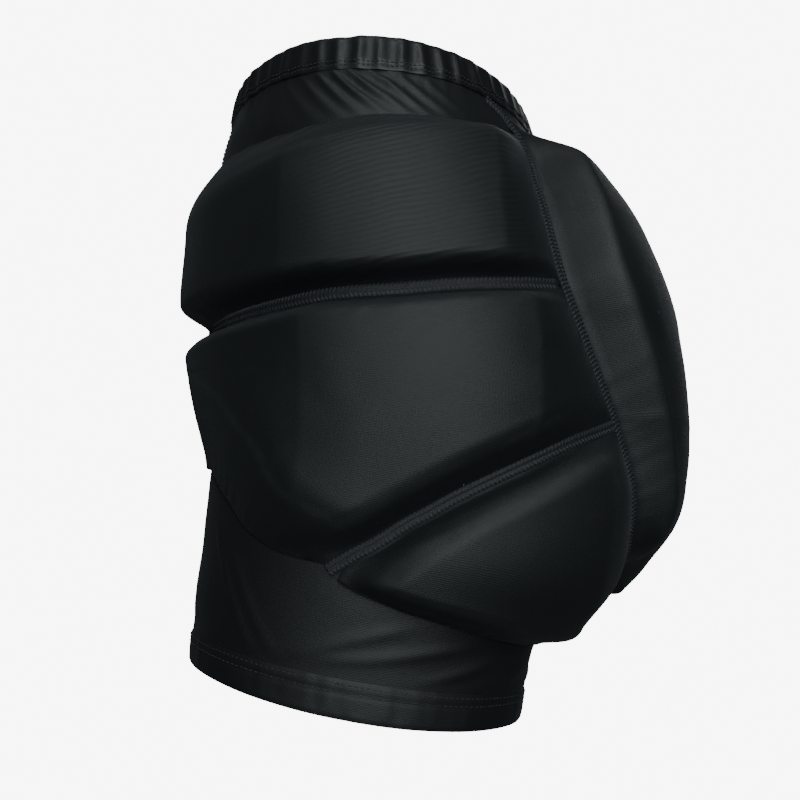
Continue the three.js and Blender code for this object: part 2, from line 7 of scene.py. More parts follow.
import bpy
import numpy as np
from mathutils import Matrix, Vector


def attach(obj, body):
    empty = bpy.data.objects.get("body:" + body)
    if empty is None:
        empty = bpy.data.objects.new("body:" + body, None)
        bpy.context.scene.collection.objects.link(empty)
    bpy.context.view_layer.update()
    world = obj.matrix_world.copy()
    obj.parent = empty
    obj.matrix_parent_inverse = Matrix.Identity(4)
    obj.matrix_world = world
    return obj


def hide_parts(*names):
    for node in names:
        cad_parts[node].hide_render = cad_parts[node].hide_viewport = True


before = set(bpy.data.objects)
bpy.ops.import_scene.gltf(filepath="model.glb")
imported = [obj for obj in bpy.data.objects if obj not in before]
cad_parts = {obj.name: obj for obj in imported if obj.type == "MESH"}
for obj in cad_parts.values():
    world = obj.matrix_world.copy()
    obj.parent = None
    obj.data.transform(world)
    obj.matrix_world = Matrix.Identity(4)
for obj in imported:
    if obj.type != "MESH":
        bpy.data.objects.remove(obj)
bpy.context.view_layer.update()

MM = 0.001
DEGREE = math.pi / 180

# Body sizes over the cloth, as in the CAD source
WAIST_WIDTH = 264
WAIST_DEPTH = 171
HIP_WIDTH = 344
HIP_DEPTH = 233
HIP_BACK = 30.5
BELLY = 13
THIGH_WIDTH = 156
THIGH_DEPTH = 173
THIGH_BACK = -13
LEG_OUT = 86
RISE = 250
INSEAM = 83
WAIST_DROP = 11
HEM_DROP = 31
WAIST_SIDE_RISE = 12
HEM_END_RISE = 8
SQUARENESS = 2.2

CLOTH = 1.3
SEAT = 0.3  # how far a pad's underside lies off the cloth
FRONT_PANEL_WIDTH = 90
CROTCH_PANEL_WIDTH = 56
BAND_HEIGHT = 16.5
HEM_HEIGHT = 19
HIP_PAD_THICKNESS = 22
THIGH_PAD_THICKNESS = 19
SEAT_PAD_THICKNESS = 28
PAD_RIM = 2.4
PAD_CROWN = 3
SEAM_SIDE = 4.2
SEAT_PAD_APART = 10

# down: 0 waist, 1 crotch, 2 hem. side, front, back: 0 waist's size, 1 hip's, 2 hem's. The rest are
# shares: of the belly, of the way out to the leg's middle, of the reach past the body's middle, and of
# the legs' gap.
BODY_COLUMNS = ("down", "side", "front", "back", "belly", "axis", "past", "apart")
BODY = (
    (0, 0, 0, 0, 0, 0, 1, 0),
    (0.07, 0.17, 0.05, 0.1, 0.25, 0, 1, 0),
    (0.165, 0.4, 0.1, 0.3, 0.7, 0, 1, 0),
    (0.335, 0.73, 0.3, 0.7, 0.9, 0, 1, 0),
    (0.5, 0.9, 0.8, 0.93, 0.95, 0.04, 0.95, 0),
    (0.695, 1, 1, 1, 0.55, 0.38, 0.55, 0),
    (0.815, 1, 1.05, 1.02, 0.3, 0.66, 0.27, 0),
    (0.94, 1.05, 1.3, 1.2, 0.1, 0.92, 0.07, 0),
    (1, 1.1, 1.45, 1.36, 0, 1, 0, 0),
    (1.235, 1.4, 1.6, 1.68, 0, 1, 0, 0.4),
    (1.52, 1.7, 1.8, 1.9, 0, 1, 0, 0.65),
    (2, 2, 2, 2, 0, 1, 0, 1),
)

# Seams and edges over the left half, as (down, degrees)
SEAT_SEAM = (
    (0.06, 31), (0.1, 43), (0.15, 45), (0.245, 40), (0.335, 36.5), (0.43, 35.2),
    (0.545, 39.2), (0.69, 47.2), (0.775, 53.4), (0.86, 60.4), (0.94, 71.5), (1.0, 90),
)
YOKE_EDGE = (
    (0.19, -95), (0.196, -50), (0.19, -30), (0.174, -15), (0.157, 0), (0.147, 20), (0.127, 50),
)
HIP_SEAM = (
    (0.6, -95), (0.584, -65), (0.555, -37), (0.528, -20), (0.507, -4), (0.488, 5), (0.472, 16),
    (0.455, 30), (0.437, 50),
)
MIDDLE_LOW_EDGE = (
    (0.9, -100), (0.91, -75), (0.965, -57), (1.05, -44), (1.135, -29), (1.16, -13),
)
THIGH_SEAM = (
    (1.16, -13), (1.09, -10.2), (1.005, -6.3), (0.955, -1.3), (0.899, 5.5), (0.848, 13.7),
    (0.806, 22.2), (0.76, 33), (0.71, 48.5),
)
UNDER_SEAT_EDGE = (
    (0.71, 48.5), (0.785, 54.3), (0.86, 60.4), (0.94, 71.5), (1.0, 90), (1.06, 120),
)
LOWER_LOW_EDGE = (
    (1.2, -13), (1.245, -9), (1.299, -1), (1.342, 8), (1.389, 26), (1.425, 42), (1.45, 60),
    (1.455, 82), (1.4, 120),
)
MIDDLE_PAD_CORNER = 0.76  # down to where the middle pad's back edge follows the seat seam
LOWER_PAD_FRONT = -10.5
LOWER_PAD_BACK = 116
SEAT_PAD_TOP = 0.1
SEAT_PAD_LOW = 0.985
# How much fuller the seat pad is than its thickness, in millimetres, from its low end (0) to its top (1)
SEAT_FULLNESS = (
    (0, -1), (0.14, -6), (0.3, -1.5), (0.46, 2.4), (0.6, 3.2), (0.74, 3.2), (0.88, 1), (1, 0),
)


# Curves and the body's surface
def curve(x, y):
    """A smooth curve through points that never overshoots them."""
    x, y = np.array(x, float), np.array(y, float)
    rate = np.diff(y) / np.diff(x)
    slope = np.concatenate([rate[:1], np.zeros(len(x) - 2), rate[-1:]])
    same = rate[:-1] * rate[1:] > 0
    total = np.where(same, rate[:-1] + rate[1:], 1)
    slope[1:-1] = np.where(same, 2 * rate[:-1] * rate[1:] / total, 0)

    def at(value):
        value = np.asarray(value, float)
        i = np.clip(np.searchsorted(x, value) - 1, 0, len(x) - 2)
        width = x[i + 1] - x[i]
        t = np.clip((value - x[i]) / width, 0, 1)
        inside = y[i] + (y[i + 1] - y[i]) * t * t * (3 - 2 * t)
        inside = inside + width * t * (1 - t) * ((1 - t) * slope[i] - t * slope[i + 1])
        before = np.minimum(value - x[0], 0) * slope[0]
        after = np.maximum(value - x[-1], 0) * slope[-1]
        return inside + before + after

    return at


def mix(a, b, share):
    return a + (b - a) * share


def smooth(value):
    t = np.clip(value, 0, 1)
    return t * t * (3 - 2 * t)


def depth_of(down):
    down = np.asarray(down, float)
    return RISE * np.minimum(down, 1) + INSEAM * np.maximum(down - 1, 0)


def over_depth(rows):
    return curve([depth_of(r[0]) for r in rows], [r[1] * DEGREE for r in rows])


def over_angle(rows):
    return curve([r[1] * DEGREE for r in rows], [depth_of(r[0]) for r in rows])


body_depths = [depth_of(row[0]) for row in BODY]
body_curve = {
    name: curve(body_depths, [row[k] for row in BODY]) for k, name in enumerate(BODY_COLUMNS)
}


def between(share, waist, hip, hem):
    return np.where(share <= 1, mix(waist, hip, share), mix(hip, hem, share - 1))


def section(depth):
    """The half body's section at a depth: its middle, and how far it reaches each way."""
    share = {name: at(depth) for name, at in body_curve.items()}
    side = between(share["side"], WAIST_WIDTH / 2, HIP_WIDTH / 2, LEG_OUT + THIGH_WIDTH / 2)
    front = between(
        share["front"], -WAIST_DEPTH / 2, HIP_BACK - HIP_DEPTH / 2, THIGH_BACK - THIGH_DEPTH / 2
    )
    front = front - BELLY * share["belly"]
    back = between(
        share["back"], WAIST_DEPTH / 2, HIP_BACK + HIP_DEPTH / 2, THIGH_BACK + THIGH_DEPTH / 2
    )
    inner = share["apart"] * (LEG_OUT - THIGH_WIDTH / 2) - share["past"] * side
    x = share["axis"] * LEG_OUT
    return x, (front + back) / 2, side - x, x - inner, (back - front) / 2


def rounded(value):
    return np.sign(value) * np.abs(value) ** (2 / SQUARENESS)


def body_point(phi, depth):
    """A point of the left half's cloth."""
    phi, depth = np.broadcast_arrays(np.asarray(phi, float), np.asarray(depth, float))
    x, y, outward, inward, deep = section(depth)
    cos = np.cos(phi)
    behind = deep * rounded(np.sin(phi))
    tilt = mix(WAIST_DROP / WAIST_DEPTH, HEM_DROP / THIGH_DEPTH, depth / (RISE + INSEAM))
    lift = WAIST_SIDE_RISE * np.clip(1 - depth / (RISE / 2), 0, 1) ** 2 * cos * cos
    lift = lift + HEM_END_RISE * np.clip((depth - RISE) / INSEAM, 0, 1) ** 2 * (1 - cos * cos)
    beside_x = np.where(cos > 0, outward, inward) * rounded(cos)
    return np.stack([x + beside_x, y + behind, lift - depth - tilt * behind], -1)


STEP = 1e-3


def along_phi(phi, depth):
    return (body_point(phi + STEP, depth) - body_point(phi - STEP, depth)) / (2 * STEP)


def along_depth(phi, depth):
    return (body_point(phi, depth + STEP) - body_point(phi, depth - STEP)) / (2 * STEP)


def normal_at(phi, depth):
    return unit(np.cross(along_depth(phi, depth), along_phi(phi, depth)))


def over_body(phi, depth, height):
    height = np.asarray(height, float)[..., None]
    return body_point(phi, depth) + height * normal_at(phi, depth)


def over_left(phi, depth, height):
    points = over_body(phi, depth, height)
    points[..., 0] = np.maximum(points[..., 0], 0)
    return points


def round_scale(phi, depth):
    return np.linalg.norm(along_phi(phi, depth), axis=-1)


def down_scale(edge, phi):
    depth = edge(phi)
    down = np.linalg.norm(along_depth(phi, depth), axis=-1)
    slope = (edge(phi + STEP) - edge(phi - STEP)) / (2 * STEP)
    return down / np.hypot(1, slope * down / round_scale(phi, depth))


def beside(line, mm):
    return lambda depth: line(depth) + mm / round_scale(line(depth), depth)


def below(edge, mm):
    return lambda phi: edge(phi) + mm / down_scale(edge, phi)


def always(value):
    return lambda at: value + 0 * np.asarray(at, float)


def angle_at_x(x, depth):
    middle_x, _, outward, inward, _ = section(depth)
    share = (x - middle_x) / np.where(x > middle_x, outward, inward)
    cos = np.clip(np.sign(share) * np.abs(share) ** (SQUARENESS / 2), -1, 1)
    return np.arccos(cos)


def front_seam(depth):
    width = mix(FRONT_PANEL_WIDTH, CROTCH_PANEL_WIDTH, np.clip(depth / RISE, 0, 1))
    return -angle_at_x(width / 2, depth)


seat_seam = over_depth(SEAT_SEAM)
yoke_edge = over_angle(YOKE_EDGE)
hip_seam = over_angle(HIP_SEAM)
thigh_seam = over_angle(THIGH_SEAM)
middle_low_edge = over_angle(MIDDLE_LOW_EDGE)
under_seat_edge = over_angle(UNDER_SEAT_EDGE)
lower_low_edge = over_angle(LOWER_LOW_EDGE)
THIGH_CORNER = THIGH_SEAM[0][1] * DEGREE
SEAT_CORNER = UNDER_SEAT_EDGE[0][1] * DEGREE

CROSSING_STEPS = 40


def place(edges, u, w):
    """phi and depth at a share u of the way round and w of the way up between a region's edges."""
    front, back, top, low = (edges[k] for k in ("front", "back", "top", "low"))
    depth = np.full(np.broadcast(u, w).shape, RISE / 2)
    phi = depth * 0
    for _ in range(CROSSING_STEPS):
        phi = mix(front(depth), back(depth), u)
        depth = mix(depth, mix(low(phi), top(phi), w), 0.5)
    return mix(front(depth), back(depth), u), depth


def noise(x, y, seed):
    """Smooth noise from -1 to 1 with features about one unit wide."""
    table = np.random.default_rng(seed).uniform(-1, 1, (64, 64))
    x, y = np.broadcast_arrays(np.asarray(x, float), np.asarray(y, float))
    i, j = np.floor(x).astype(int), np.floor(y).astype(int)
    s, t = smooth(x - i), smooth(y - j)
    corner = lambda a, b: table[(i + a) % 64, (j + b) % 64]
    return mix(mix(corner(0, 0), corner(1, 0), s), mix(corner(0, 1), corner(1, 1), s), t)


def bump(distance, width):
    return np.exp(-((distance / width) ** 2))


def unit(vectors):
    return vectors / np.linalg.norm(vectors, axis=-1, keepdims=True)


def new_object(name, data):
    made = bpy.data.objects.new(name, data)
    bpy.context.scene.collection.objects.link(made)
    return made


# Meshes
def quads_of(rows, columns, ring, keep):
    """Corner indices of a grid's cells and the same without wrapping, for UVs."""
    cells = columns if ring else columns - 1
    j, i = np.meshgrid(np.arange(rows - 1), np.arange(cells), indexing="ij")
    if keep is not None:
        i, j = i[keep], j[keep]
    i, j = i.ravel(), j.ravel()
    corner = lambda a, b, wrap: (j + b) * wrap + ((i + a) % wrap if wrap == columns else i + a)
    order = ((0, 0), (1, 0), (1, 1), (0, 1))
    faces = np.stack([corner(a, b, columns) for a, b in order], -1)
    unwrapped = np.stack([(j + b) * (columns + 1) + i + a for a, b in order], -1)
    return faces, unwrapped


def shell(outer, inner, uv, ring=False, keep=None, marks=None):
    """Points, faces and UVs of a closed sheet between two grids. Rows run upwards, columns round."""
    rows, columns = outer.shape[:2]
    faces, unwrapped = quads_of(rows, columns, ring, keep)
    points = np.concatenate([outer.reshape(-1, 3), inner.reshape(-1, 3)])
    count = rows * columns
    start, end = faces, np.roll(faces, -1, axis=1)
    uv_start, uv_end = unwrapped, np.roll(unwrapped, -1, axis=1)
    edges = np.stack([start.ravel(), end.ravel()], -1)
    key = np.sort(edges, axis=1) @ np.array([count, 1])
    _, first, uses = np.unique(key, return_index=True, return_counts=True)
    rim = first[uses == 1]
    a, b = edges[rim].T
    walls = np.stack([b, a, a + count, b + count], -1)
    uv_walls = np.stack([uv_end.ravel()[rim], uv_start.ravel()[rim]], -1)[:, [0, 1, 1, 0]]
    every = np.concatenate([faces, faces[:, ::-1] + count, walls])
    uv_index = np.concatenate([unwrapped, unwrapped[:, ::-1], uv_walls])
    flat = uv.reshape(-1, 2)[uv_index.ravel()]
    used = np.unique(every)
    renumber = np.full(len(points), -1)
    renumber[used] = np.arange(len(used))
    marks = {} if marks is None else marks
    kept_marks = {n: np.concatenate([m.ravel(), m.ravel()])[used] for n, m in marks.items()}
    return dict(points=points[used], faces=renumber[every], uv=flat, marks=kept_marks)


def grid_uv(phi, depth, ring):
    """Millimetres round and down the cloth for each grid point, with one more column at the end."""
    middle_row = len(depth) // 2
    scale = round_scale(phi[middle_row], depth[middle_row]).mean()
    last = phi[:, :1] + 2 * math.pi if ring else phi[:, -1:]
    around = np.concatenate([phi, last], 1) * scale
    depth = np.concatenate([depth, depth[:, -1:]], 1)
    return np.stack([around, depth], -1)


def joined(parts):
    """Several meshes as one."""
    starts = np.cumsum([0] + [len(part["points"]) for part in parts])
    names = set().union(*(part["marks"] for part in parts))
    none = [np.zeros(len(part["points"])) for part in parts]
    marks = {
        n: np.concatenate([part["marks"].get(n, zero) for part, zero in zip(parts, none)])
        for n in sorted(names)
    }
    return dict(
        points=np.concatenate([part["points"] for part in parts]),
        faces=np.concatenate([part["faces"] + start for part, start in zip(parts, starts)]),
        uv=np.concatenate([part["uv"] for part in parts]),
        marks=marks,
    )


SHARP_ANGLE = 55
UV_MM = 100  # millimetres for each UV unit


def piece(name, made, material, nodes=(), mirror=False):
    """A Blender object from a made mesh, which rides on the body and may stand for CAD nodes."""
    points = made["points"] * MM
    faces = made["faces"]
    uv = made["uv"].reshape(len(faces), -1, 2)
    if mirror:
        points = points * np.array([-1, 1, 1])
        faces = faces[:, ::-1]
        uv = uv[:, ::-1]
    mesh = bpy.data.meshes.new(name)
    mesh.from_pydata(points.tolist(), [], faces.tolist())
    layer = mesh.uv_layers.new(name="cloth_mm")
    layer.data.foreach_set("uv", (uv / UV_MM).astype(np.float32).ravel())
    for mark, values in made["marks"].items():
        attribute = mesh.attributes.new(mark, "FLOAT", "POINT")
        attribute.data.foreach_set("value", values.astype(np.float32))
    mesh.shade_smooth()
    mesh.set_sharp_from_angle(angle=SHARP_ANGLE * DEGREE)
    mesh.materials.append(material)
    made_object = new_object(name, mesh)
    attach(made_object, "root")
    if nodes:
        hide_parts(*nodes)
    return made_object


def pair(name, made, material, slot, *nodes_of):
    both = []
    for side, mirror in (("left", False), ("right", True)):
        nodes = [f"{node}_{side}" for node in nodes_of]
        both.append(piece(f"{name}_{side}", made, material, nodes, mirror))
    return both


# Materials
def new_material(name):
    material = bpy.data.materials.new(name)
    material.use_nodes = True
    nodes = material.node_tree.nodes
    return material, nodes, material.node_tree.links, nodes["Principled BSDF"]


def add_node(nodes, kind, **values):
    made = nodes.new(kind)
    for key, value in values.items():
        if key in made.inputs:
            made.inputs[key].default_value = value
        else:
            setattr(made, key, value)
    return made


def math_node(nodes, links, operation, a, b=None, c=None):
    made = nodes.new("ShaderNodeMath")
    made.operation = operation
    for k, value in enumerate((a, b, c)):
        if value is None:
            continue
        if isinstance(value, (int, float)):
            made.inputs[k].default_value = value
        else:
            links.new(value, made.inputs[k])
    return made.outputs[0]


def set_inputs(shader, values):
    for key, value in values.items():
        shader.inputs[key].default_value = value


def blend(nodes, links, share, *colours):
    """A mix of two colours, each a fixed colour or another node's."""
    made = nodes.new("ShaderNodeMix")
    made.data_type = "RGBA"
    links.new(share, made.inputs[0])
    for k, colour in zip((6, 7), colours):
        if isinstance(colour, tuple):
            made.inputs[k].default_value = (*colour, 1)
        else:
            links.new(colour, made.inputs[k])
    return made.outputs[2]


def mark_node(nodes, name):
    made = nodes.new("ShaderNodeAttribute")
    made.attribute_name = name
    return made.outputs["Fac"]


RIB_DRIFT = 0.012  # how far the ribs wander, in UV units
RIB_SHADE = 0.25
WALE_RATE = 1.35  # wales for each rib
WALE_HEIGHT = 0.35  # heights are shares of a rib's
GRAIN_HEIGHT = 2.2
LINE_GAP = 2.6  # millimetres between the lines drawn across a ribbed cover
LINE_SLANT = 0.3
LINE_DRIFT = 0.06
LINE_HEIGHT = 3.2
LINE_SHADE = 0.5
RUBBED_AND_HIGHLIGHT_SHARE = 0.9  # how much a marked edge takes the lighter rubbed colour, which is partly rubbed wear and partly a painted highlight on the pad faces' rounded edges
# how many times lighter than the knit's light shade the rubbed wear and painted edge highlight are
RUBBED_AND_HIGHLIGHT_GAIN = 2.6
LINT_SIZE = 0.02
LINT_COLOUR = (0.3, 0.32, 0.31)
ROUGH_RANGE = 0.12


def fabric(name, dark, light, roughness, sheen, rib_mm, rib_depth, lint=0.0, stitch=None):
    """Stretch knit: fine ribs round the body, wales down it, soft sheen, faint shade changes and lint."""
    material, nodes, links, shader = new_material(name)
    calc = lambda op, *values: math_node(nodes, links, op, *values)
    wave = lambda at, rate: calc("SINE", calc("MULTIPLY", at, rate))
    object_place = nodes.new("ShaderNodeTexCoord").outputs["Object"]

    def pattern(kind, **values):
        made = add_node(nodes, kind, **values)
        links.new(object_place, made.inputs["Vector"])
        return made.outputs

    drift = pattern("ShaderNodeTexNoise", Scale=22.0, Detail=2.0)["Fac"]
    grain = pattern("ShaderNodeTexNoise", Scale=1500.0, Detail=3.0)["Fac"]
    shade = pattern("ShaderNodeTexNoise", Scale=9.0, Detail=4.0)["Fac"]
    patchy = pattern("ShaderNodeTexNoise", Scale=120.0, Detail=3.0)["Fac"]
    uv = add_node(nodes, "ShaderNodeUVMap", uv_map="cloth_mm")
    split = nodes.new("ShaderNodeSeparateXYZ")
    links.new(uv.outputs[0], split.inputs[0])
    around, along = split.outputs[0], split.outputs[1]

    turn = 2 * math.pi * UV_MM / rib_mm
    ribs = calc("MULTIPLY_ADD", wave(calc("MULTIPLY_ADD", drift, RIB_DRIFT, along), turn), 0.5, 0.5)
    wales = calc("MULTIPLY_ADD", wave(around, turn * WALE_RATE), 0.5, 0.5)
    slant = calc("MULTIPLY_ADD", around, LINE_SLANT, calc("MULTIPLY_ADD", drift, LINE_DRIFT, along))
    lines = calc("MULTIPLY", wave(slant, 2 * math.pi * UV_MM / LINE_GAP), mark_node(nodes, "ribbed"))
    height = calc("MULTIPLY_ADD", grain, GRAIN_HEIGHT, calc("MULTIPLY_ADD", wales, WALE_HEIGHT, ribs))
    height = calc("MULTIPLY_ADD", lines, LINE_HEIGHT, height)
    bump_node = add_node(nodes, "ShaderNodeBump", Strength=1.0, Distance=rib_depth * MM)
    links.new(height, bump_node.inputs["Height"])
    links.new(bump_node.outputs[0], shader.inputs["Normal"])

    tone = calc("MULTIPLY_ADD", lines, LINE_SHADE, calc("MULTIPLY_ADD", ribs, RIB_SHADE, shade))
    colour = blend(nodes, links, tone, dark, light)
    # Lighter colour along the pad faces' rounded edges: partly rubbed wear, partly a painted highlight
    # where the edge catches the light
    worn_and_highlit = calc("MULTIPLY", mark_node(nodes, "wear_and_highlight"), calc("MULTIPLY", patchy, RUBBED_AND_HIGHLIGHT_SHARE))
    colour = blend(nodes, links, worn_and_highlit, colour, tuple(RUBBED_AND_HIGHLIGHT_GAIN * c for c in light))
    if stitch:
        colour = blend(nodes, links, mark_node(nodes, "thread"), colour, stitch)
    if lint:
        cells = pattern("ShaderNodeTexVoronoi", Scale=58.0, Randomness=1.0)
        speck = calc("LESS_THAN", cells["Distance"], LINT_SIZE)
        parts = nodes.new("ShaderNodeSeparateColor")
        links.new(cells["Color"], parts.inputs[0])
        chosen = calc("LESS_THAN", parts.outputs[0], lint)
        colour = blend(nodes, links, calc("MULTIPLY", speck, chosen), colour, LINT_COLOUR)
    links.new(colour, shader.inputs["Base Color"])
    rough = calc("MULTIPLY_ADD", shade, ROUGH_RANGE, roughness - ROUGH_RANGE / 2)
    links.new(rough, shader.inputs["Roughness"])
    set_inputs(shader, {
        "Specular IOR Level": 0.5, "Sheen Weight": sheen, "Sheen Roughness": 0.45,
        "Sheen Tint": (0.75, 0.86, 0.9, 1),
    })
    return material


KNIT_SHADES = dict(dark=(0.0035, 0.0042, 0.0044), light=(0.0075, 0.009, 0.0093))
cloth_material = fabric(
    "stretch_cloth", **KNIT_SHADES, roughness=0.56, sheen=0.03, rib_mm=0.75, rib_depth=0.034, lint=0.25)
pad_material = fabric(
    "pad_cover", dark=(0.0035, 0.0045, 0.0048), light=(0.008, 0.01, 0.0104), roughness=0.6,
    sheen=0.04, rib_mm=0.8, rib_depth=0.042, lint=0.5)
band_material = fabric(
    "gathered_band", **KNIT_SHADES, roughness=0.46, sheen=0.03, rib_mm=0.9, rib_depth=0.035, lint=0.05)
thread_material = fabric(
    "seam_thread", dark=(0.006, 0.007, 0.008), light=(0.012, 0.0135, 0.015), roughness=0.6,
    sheen=0.05, rib_mm=0.5, rib_depth=0.05, stitch=(0.03, 0.033, 0.037))

# Cloth panels
band_low = BAND_HEIGHT
hem_top = RISE + INSEAM - HEM_HEIGHT
GRID = 1.7  # millimetres between grid lines


def grid(edges, wide_mm, high_mm, step=GRID):
    u = np.linspace(0, 1, max(int(wide_mm / step), 2) + 1)
    w = np.linspace(0, 1, max(int(high_mm / step), 2) + 1)
    u, w = np.meshgrid(u, w)
    phi, depth = place(edges, u, w)
    return phi, depth, u, w


def region(edges, wide_mm, high_mm, relief, step=GRID):
    phi, depth, _, _ = grid(edges, wide_mm, high_mm, step)
    height = relief(phi, depth)
    outer = over_left(phi, depth, height)
    inner = over_left(phi, depth, height * 0 - CLOTH)
    return shell(outer, inner, grid_uv(phi, depth, False))


PANEL_GAP = 0.1
BAND_LAP = 1  # how far the cloth reaches up under the band
panel_top = always(band_low - BAND_LAP)

# Each fold's angle at the band, its height, and its width, with the angles in degrees
YOKE_FOLDS = (
    (-33, 0.6, 2.0), (-26, 1.0, 1.7), (-20, 1.5, 1.6), (-14.5, 1.9, 1.5), (-9, 1.8, 1.7), (-3, 1.6, 1.7),
    (3.5, 1.0, 2.0), (11, 0.5, 2.2), (-55, 0.6, 2.5), (-68, 0.7, 2.2),
)
FOLD_LEAN = 15


def band_puckers(phi, depth, seed=5):
    return 0.5 * noise(phi / DEGREE / 1.7, depth / 60, seed) * bump(depth - band_low, 7)


def yoke_relief(phi, depth):
    edge = yoke_edge(phi)
    run = np.clip((depth - band_low) / (edge - band_low), 0, 1)
    height = 0 * phi
    for centre, tall, wide in YOKE_FOLDS:
        at = (centre + FOLD_LEAN * run) * DEGREE
        height = height + tall * bump(phi - at, wide * (0.75 + 0.8 * run) * DEGREE)
    height = height * np.sin(math.pi * np.clip(run * 0.93 + 0.03, 0, 1)) ** 0.8
    slack = 0.5 * noise(phi / DEGREE / 9, depth / 14, 4) * smooth(run * 4) * smooth((1 - run) * 4)
    return height + band_puckers(phi, depth, 3) + slack


def yoke():
    edges = dict(
        front=beside(front_seam, PANEL_GAP), back=beside(seat_seam, -PANEL_GAP), top=panel_top,
        low=below(yoke_edge, 2),
    )
    return region(edges, 290, 30, yoke_relief, step=GRID * 0.62)


def front_relief(phi, depth):
    slack = 0.8 * noise(phi * 6, depth / 26, 6)
    return band_puckers(phi, depth) + slack * smooth((depth - 30) / 30) * smooth((RISE - depth) / 20)


def front_panel():
    edges = dict(
        front=lambda depth: -angle_at_x(0, depth), back=beside(front_seam, -PANEL_GAP),
        top=panel_top, low=always(RISE),
    )
    return region(edges, 45, 235, front_relief)


def seat_panel():
    edges = dict(
        front=beside(seat_seam, PANEL_GAP), back=lambda depth: angle_at_x(0, depth),
        top=panel_top, low=always(RISE),
    )
    return region(edges, 110, 235, band_puckers, step=GRID * 1.4)


def pads_end(phi):
    """Depth of the lowest pad's low edge at each angle, or the crotch's where there is none."""
    turned = (phi + math.pi) % (2 * math.pi) - math.pi
    ahead = np.maximum(middle_low_edge(np.clip(turned, -100 * DEGREE, THIGH_CORNER)), RISE)
    behind = lower_low_edge(np.clip(turned, THIGH_CORNER, LOWER_PAD_BACK * DEGREE))
    past = smooth((turned / DEGREE - LOWER_PAD_BACK - 4) / 10)
    return np.where(turned < THIGH_CORNER, ahead, mix(behind, RISE, past))


# Each fold's middle in degrees, its lean, its share of the way down the leg, height, width and reach
LEG_FOLDS = (
    (36, 22, 0.82, 1.3, 3.2, 30), (20, 16, 0.72, 1.0, 3.0, 26), (52, 14, 0.9, 0.9, 3.0, 24),
    (2, 30, 0.66, 0.8, 3.4, 22), (-58, -80, 0.18, 1.5, 3.0, 22), (-44, -70, 0.4, 0.9, 3.4, 18),
    (95, 20, 0.8, 0.9, 3.6, 30), (150, 16, 0.55, 1.1, 4.0, 34), (-120, -18, 0.5, 1.0, 4.0, 30),
    (-160, 14, 0.4, 1.0, 4.0, 30),
)
LEAN_OVER = 40  # the degrees over which a fold leans by its whole lean, in millimetres


def leg_relief(phi, depth):
    """Soft slanting folds behind, a taut streak ahead of the pads, and slack cloth between them."""
    degrees = (phi / DEGREE + 180) % 360 - 180
    down = (depth - RISE) / (hem_top - RISE)
    height = 0 * phi
    for centre, lean, at, tall, wide, reach in LEG_FOLDS:
        off = (degrees - centre + 180) % 360 - 180
        line = (down - at) * (hem_top - RISE) + lean / LEAN_OVER * off
        height = height + tall * bump(line, wide) * bump(off, reach)
    edge = smooth((hem_top - depth) / 10) * smooth((depth - pads_end(phi) - 1) / 12)
    slack = 0.7 * noise(degrees / 22 + 9, depth / 24, 7)
    return (height + slack) * edge


SIDE_COLUMNS = 120
INNER_COLUMNS = 100
LEG_ROWS = 40
TORSO_ROWS = 40


def leg_panel():
    torso = dict(
        front=beside(front_seam, PANEL_GAP), back=beside(seat_seam, -PANEL_GAP), top=yoke_edge,
        low=always(RISE),
    )
    columns = SIDE_COLUMNS + INNER_COLUMNS
    front, back = torso["front"](RISE), torso["back"](RISE)
    ring_phi = np.concatenate([
        np.linspace(front, back, SIDE_COLUMNS + 1),
        np.linspace(back, front + 2 * math.pi, INNER_COLUMNS + 1)[1:-1],
    ])
    low_depth = np.linspace(hem_top, RISE, LEG_ROWS + 1)
    phi, depth = np.meshgrid(ring_phi, low_depth)
    u, w = np.meshgrid(np.linspace(0, 1, SIDE_COLUMNS + 1), np.linspace(0, 1, TORSO_ROWS + 1)[1:])
    up_phi, up_depth = place(torso, u, w)
    filler = lambda a: np.concatenate([a, np.repeat(a[:, -1:], INNER_COLUMNS - 1, 1)], 1)
    phi = np.concatenate([phi, filler(up_phi)])
    depth = np.concatenate([depth, filler(up_depth)])
    keep = np.ones((LEG_ROWS + TORSO_ROWS, columns), bool)
    keep[LEG_ROWS:, SIDE_COLUMNS:] = False
    height = leg_relief(phi, depth)
    outer = over_left(phi, depth, height)
    inner = over_left(phi, depth, height - CLOTH)
    scale = float(round_scale(np.array(0.0), np.array(hem_top)))
    last = np.concatenate([phi[:LEG_ROWS + 1, :1] + 2 * math.pi, phi[LEG_ROWS + 1:, -1:]])
    around = np.concatenate([phi, last], 1) * scale
    down = np.concatenate([depth, depth[:, -1:]], 1)
    return shell(outer, inner, np.stack([around, down], -1), ring=True, keep=keep)


def ring_grid(columns, rows, top, low):
    phi = np.arange(columns) / columns * 2 * math.pi
    depth = np.linspace(low, top, rows + 1)
    return np.meshgrid(phi, depth)


HEM_ROWS = (HEM_HEIGHT - 2.2, HEM_HEIGHT - 6.2)  # how far the stitched rows are above the hem's low edge


def hem_waves(phi, up):
    degrees = phi / DEGREE
    short = 0.28 * noise(degrees / 3.1, up / 40, 8) * smooth(up / 6)
    return short + 0.35 * noise(degrees / 13, up / 20, 9)


def leg_hem():
    """The turned hem: two layers, flat, with a groove along each stitched row and a rolled low edge."""
    phi, depth = ring_grid(420, 12, hem_top, RISE + INSEAM)
    up = RISE + INSEAM - depth
    height = 0.9 - 0.5 * bump(up, 0.8) - 0.7 * bump(up - HEM_HEIGHT, 0.7) + hem_waves(phi, up)
    for row in HEM_ROWS:
        height = height - 0.45 * bump(up - row, 0.9)
    outer = over_left(phi, depth, height)
    inner = over_left(phi, depth, height * 0 - CLOTH + 0.4 * bump(up, 0.8))
    return shell(outer, inner, grid_uv(phi, depth, True), ring=True)


BAND_GATHERS = 56
BAND_WALL = 1.3
BAND_ROWS = (2.0, 3.6)  # how far the stitched rows are above the band's low edge


